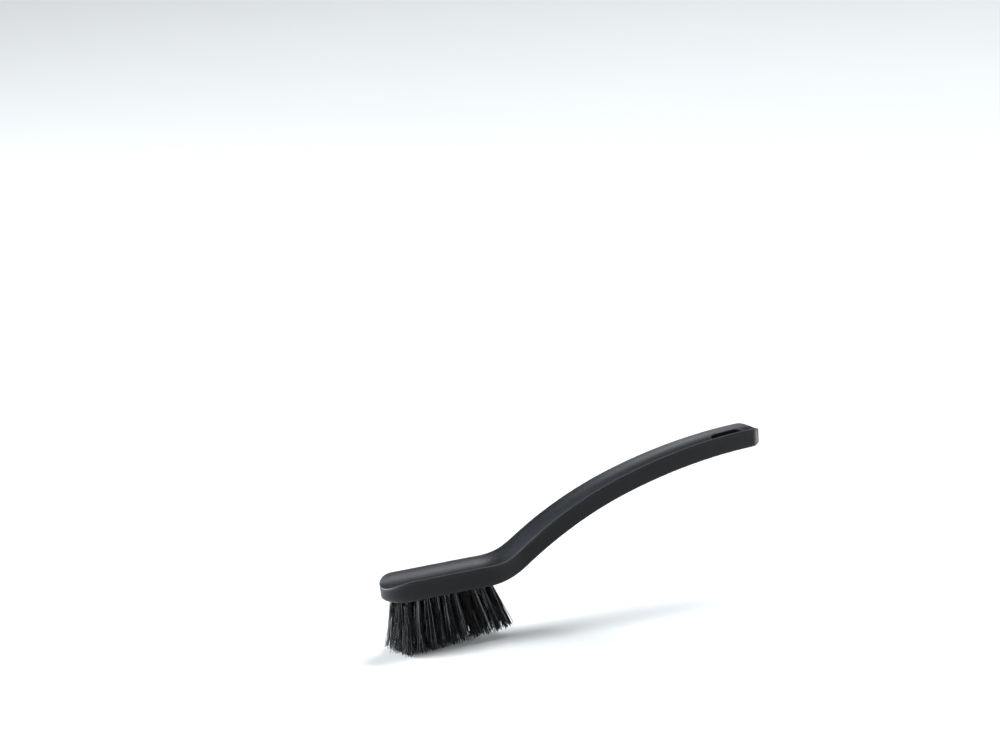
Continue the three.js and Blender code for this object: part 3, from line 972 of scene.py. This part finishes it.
# %% Floor and lights
FLOOR_HALF = 7.0
BRUSH_CENTRE = Vector((0, 0, 0.06))
SKY_HORIZON, SKY_OVERHEAD, SKY_BEHIND = 0.2, 1.1, 0.75
COOL_WHITE = (0.93, 0.97, 1.0)


def pale_floor():
    """A square floor at the foot of the frame's box, with a very faint mottle."""
    corners = [(x * FLOOR_HALF, y * FLOOR_HALF, cad_low.z) for x, y in ((-1, -1), (1, -1), (1, 1), (-1, 1))]
    mesh = bpy.data.meshes.new("floor")
    mesh.from_pydata(corners, [], [(0, 1, 2, 3)])
    floor = bpy.data.objects.new("floor", mesh)
    bpy.context.scene.collection.objects.link(floor)
    material, shader, node, link = new_material("white floor")
    mottle = node("ShaderNodeTexNoise", Scale=3.0, Detail=2.0)
    link(node("ShaderNodeTexCoord").outputs["Object"], mottle.inputs["Vector"])
    colour = node("ShaderNodeMix", data_type="RGBA")
    colour.inputs["A"].default_value = (0.80, 0.80, 0.80, 1)
    colour.inputs["B"].default_value = (0.83, 0.83, 0.83, 1)
    link(mottle.outputs["Fac"], colour.inputs["Factor"])
    link(colour.outputs["Result"], shader.inputs["Base Color"])
    shader.inputs["Roughness"].default_value = 0.8
    shader.inputs["Specular IOR Level"].default_value = 0.1
    mesh.materials.append(material)
    return floor


def soft_light(name, direction, along, distance, size, power):
    """A rectangular light in a direction from the brush, facing it, with its long side along another."""
    data = bpy.data.lights.new(name, "AREA")
    data.shape, data.size, data.size_y = "RECTANGLE", *size
    data.energy, data.color = power, COOL_WHITE
    light = bpy.data.objects.new(name, data)
    away = Vector(direction).normalized()
    level = (Vector(along) - away * away.dot(Vector(along))).normalized()
    light.location = BRUSH_CENTRE + away * distance
    light.rotation_euler = Matrix((level, away.cross(level), away)).transposed().to_euler()
    bpy.context.scene.collection.objects.link(light)
    return light


def sky_light():
    """Light from all round: it grows with the square of the direction's height and, behind the brush, with
    the square of how far behind the direction points."""
    world = bpy.data.worlds.new("studio")
    world.use_nodes = True
    tree = world.node_tree
    split = tree.nodes.new("ShaderNodeSeparateXYZ")
    squared = tree.nodes.new("ShaderNodeMath")
    squared.operation = "POWER"
    squared.inputs[1].default_value = 2.0
    level = tree.nodes.new("ShaderNodeMath")
    level.operation = "MULTIPLY_ADD"
    level.inputs[1].default_value = SKY_OVERHEAD - SKY_HORIZON
    behind = tree.nodes.new("ShaderNodeMath")
    behind.operation = "MAXIMUM"
    behind.inputs[1].default_value = 0.0
    behind_squared = tree.nodes.new("ShaderNodeMath")
    behind_squared.operation = "POWER"
    behind_squared.inputs[1].default_value = 2.0
    glow = tree.nodes.new("ShaderNodeMath")
    glow.operation = "MULTIPLY_ADD"
    glow.inputs[1].default_value = SKY_BEHIND
    glow.inputs[2].default_value = SKY_HORIZON
    tree.links.new(split.outputs["Y"], behind.inputs[0])
    tree.links.new(behind.outputs["Value"], behind_squared.inputs[0])
    tree.links.new(behind_squared.outputs["Value"], glow.inputs[0])
    tree.links.new(glow.outputs["Value"], level.inputs[2])
    tree.links.new(tree.nodes.new("ShaderNodeTexCoord").outputs["Generated"], split.inputs["Vector"])
    tree.links.new(split.outputs["Z"], squared.inputs[0])
    tree.links.new(squared.outputs["Value"], level.inputs[0])
    tree.links.new(level.outputs["Value"], tree.nodes["Background"].inputs["Strength"])
    bpy.context.scene.world = world


floor = pale_floor()
sky_light()
lights = [
    soft_light("overhead", (0.45, 0.15, 0.88), (-0.6, 0.8, 0.1), 6.0, (2.8, 1.3), 380),
    soft_light("left end", (-0.85, 0.5, 0.12), (0.5, 0.85, 0), 2.0, (1.8, 0.5), 190),
    soft_light("front left", (-0.72, -0.62, 0.32), (0.62, -0.72, 0), 2.6, (0.8, 0.5), 35),
    soft_light("handle end", (0.45, -0.10, -0.03), (0, 1, 0), 0.46, (0.2, 0.05), 0.3),
]
bpy.context.scene.view_settings.view_transform = "Standard"
print("stage:", floor.name, "and", len(lights), "lights")
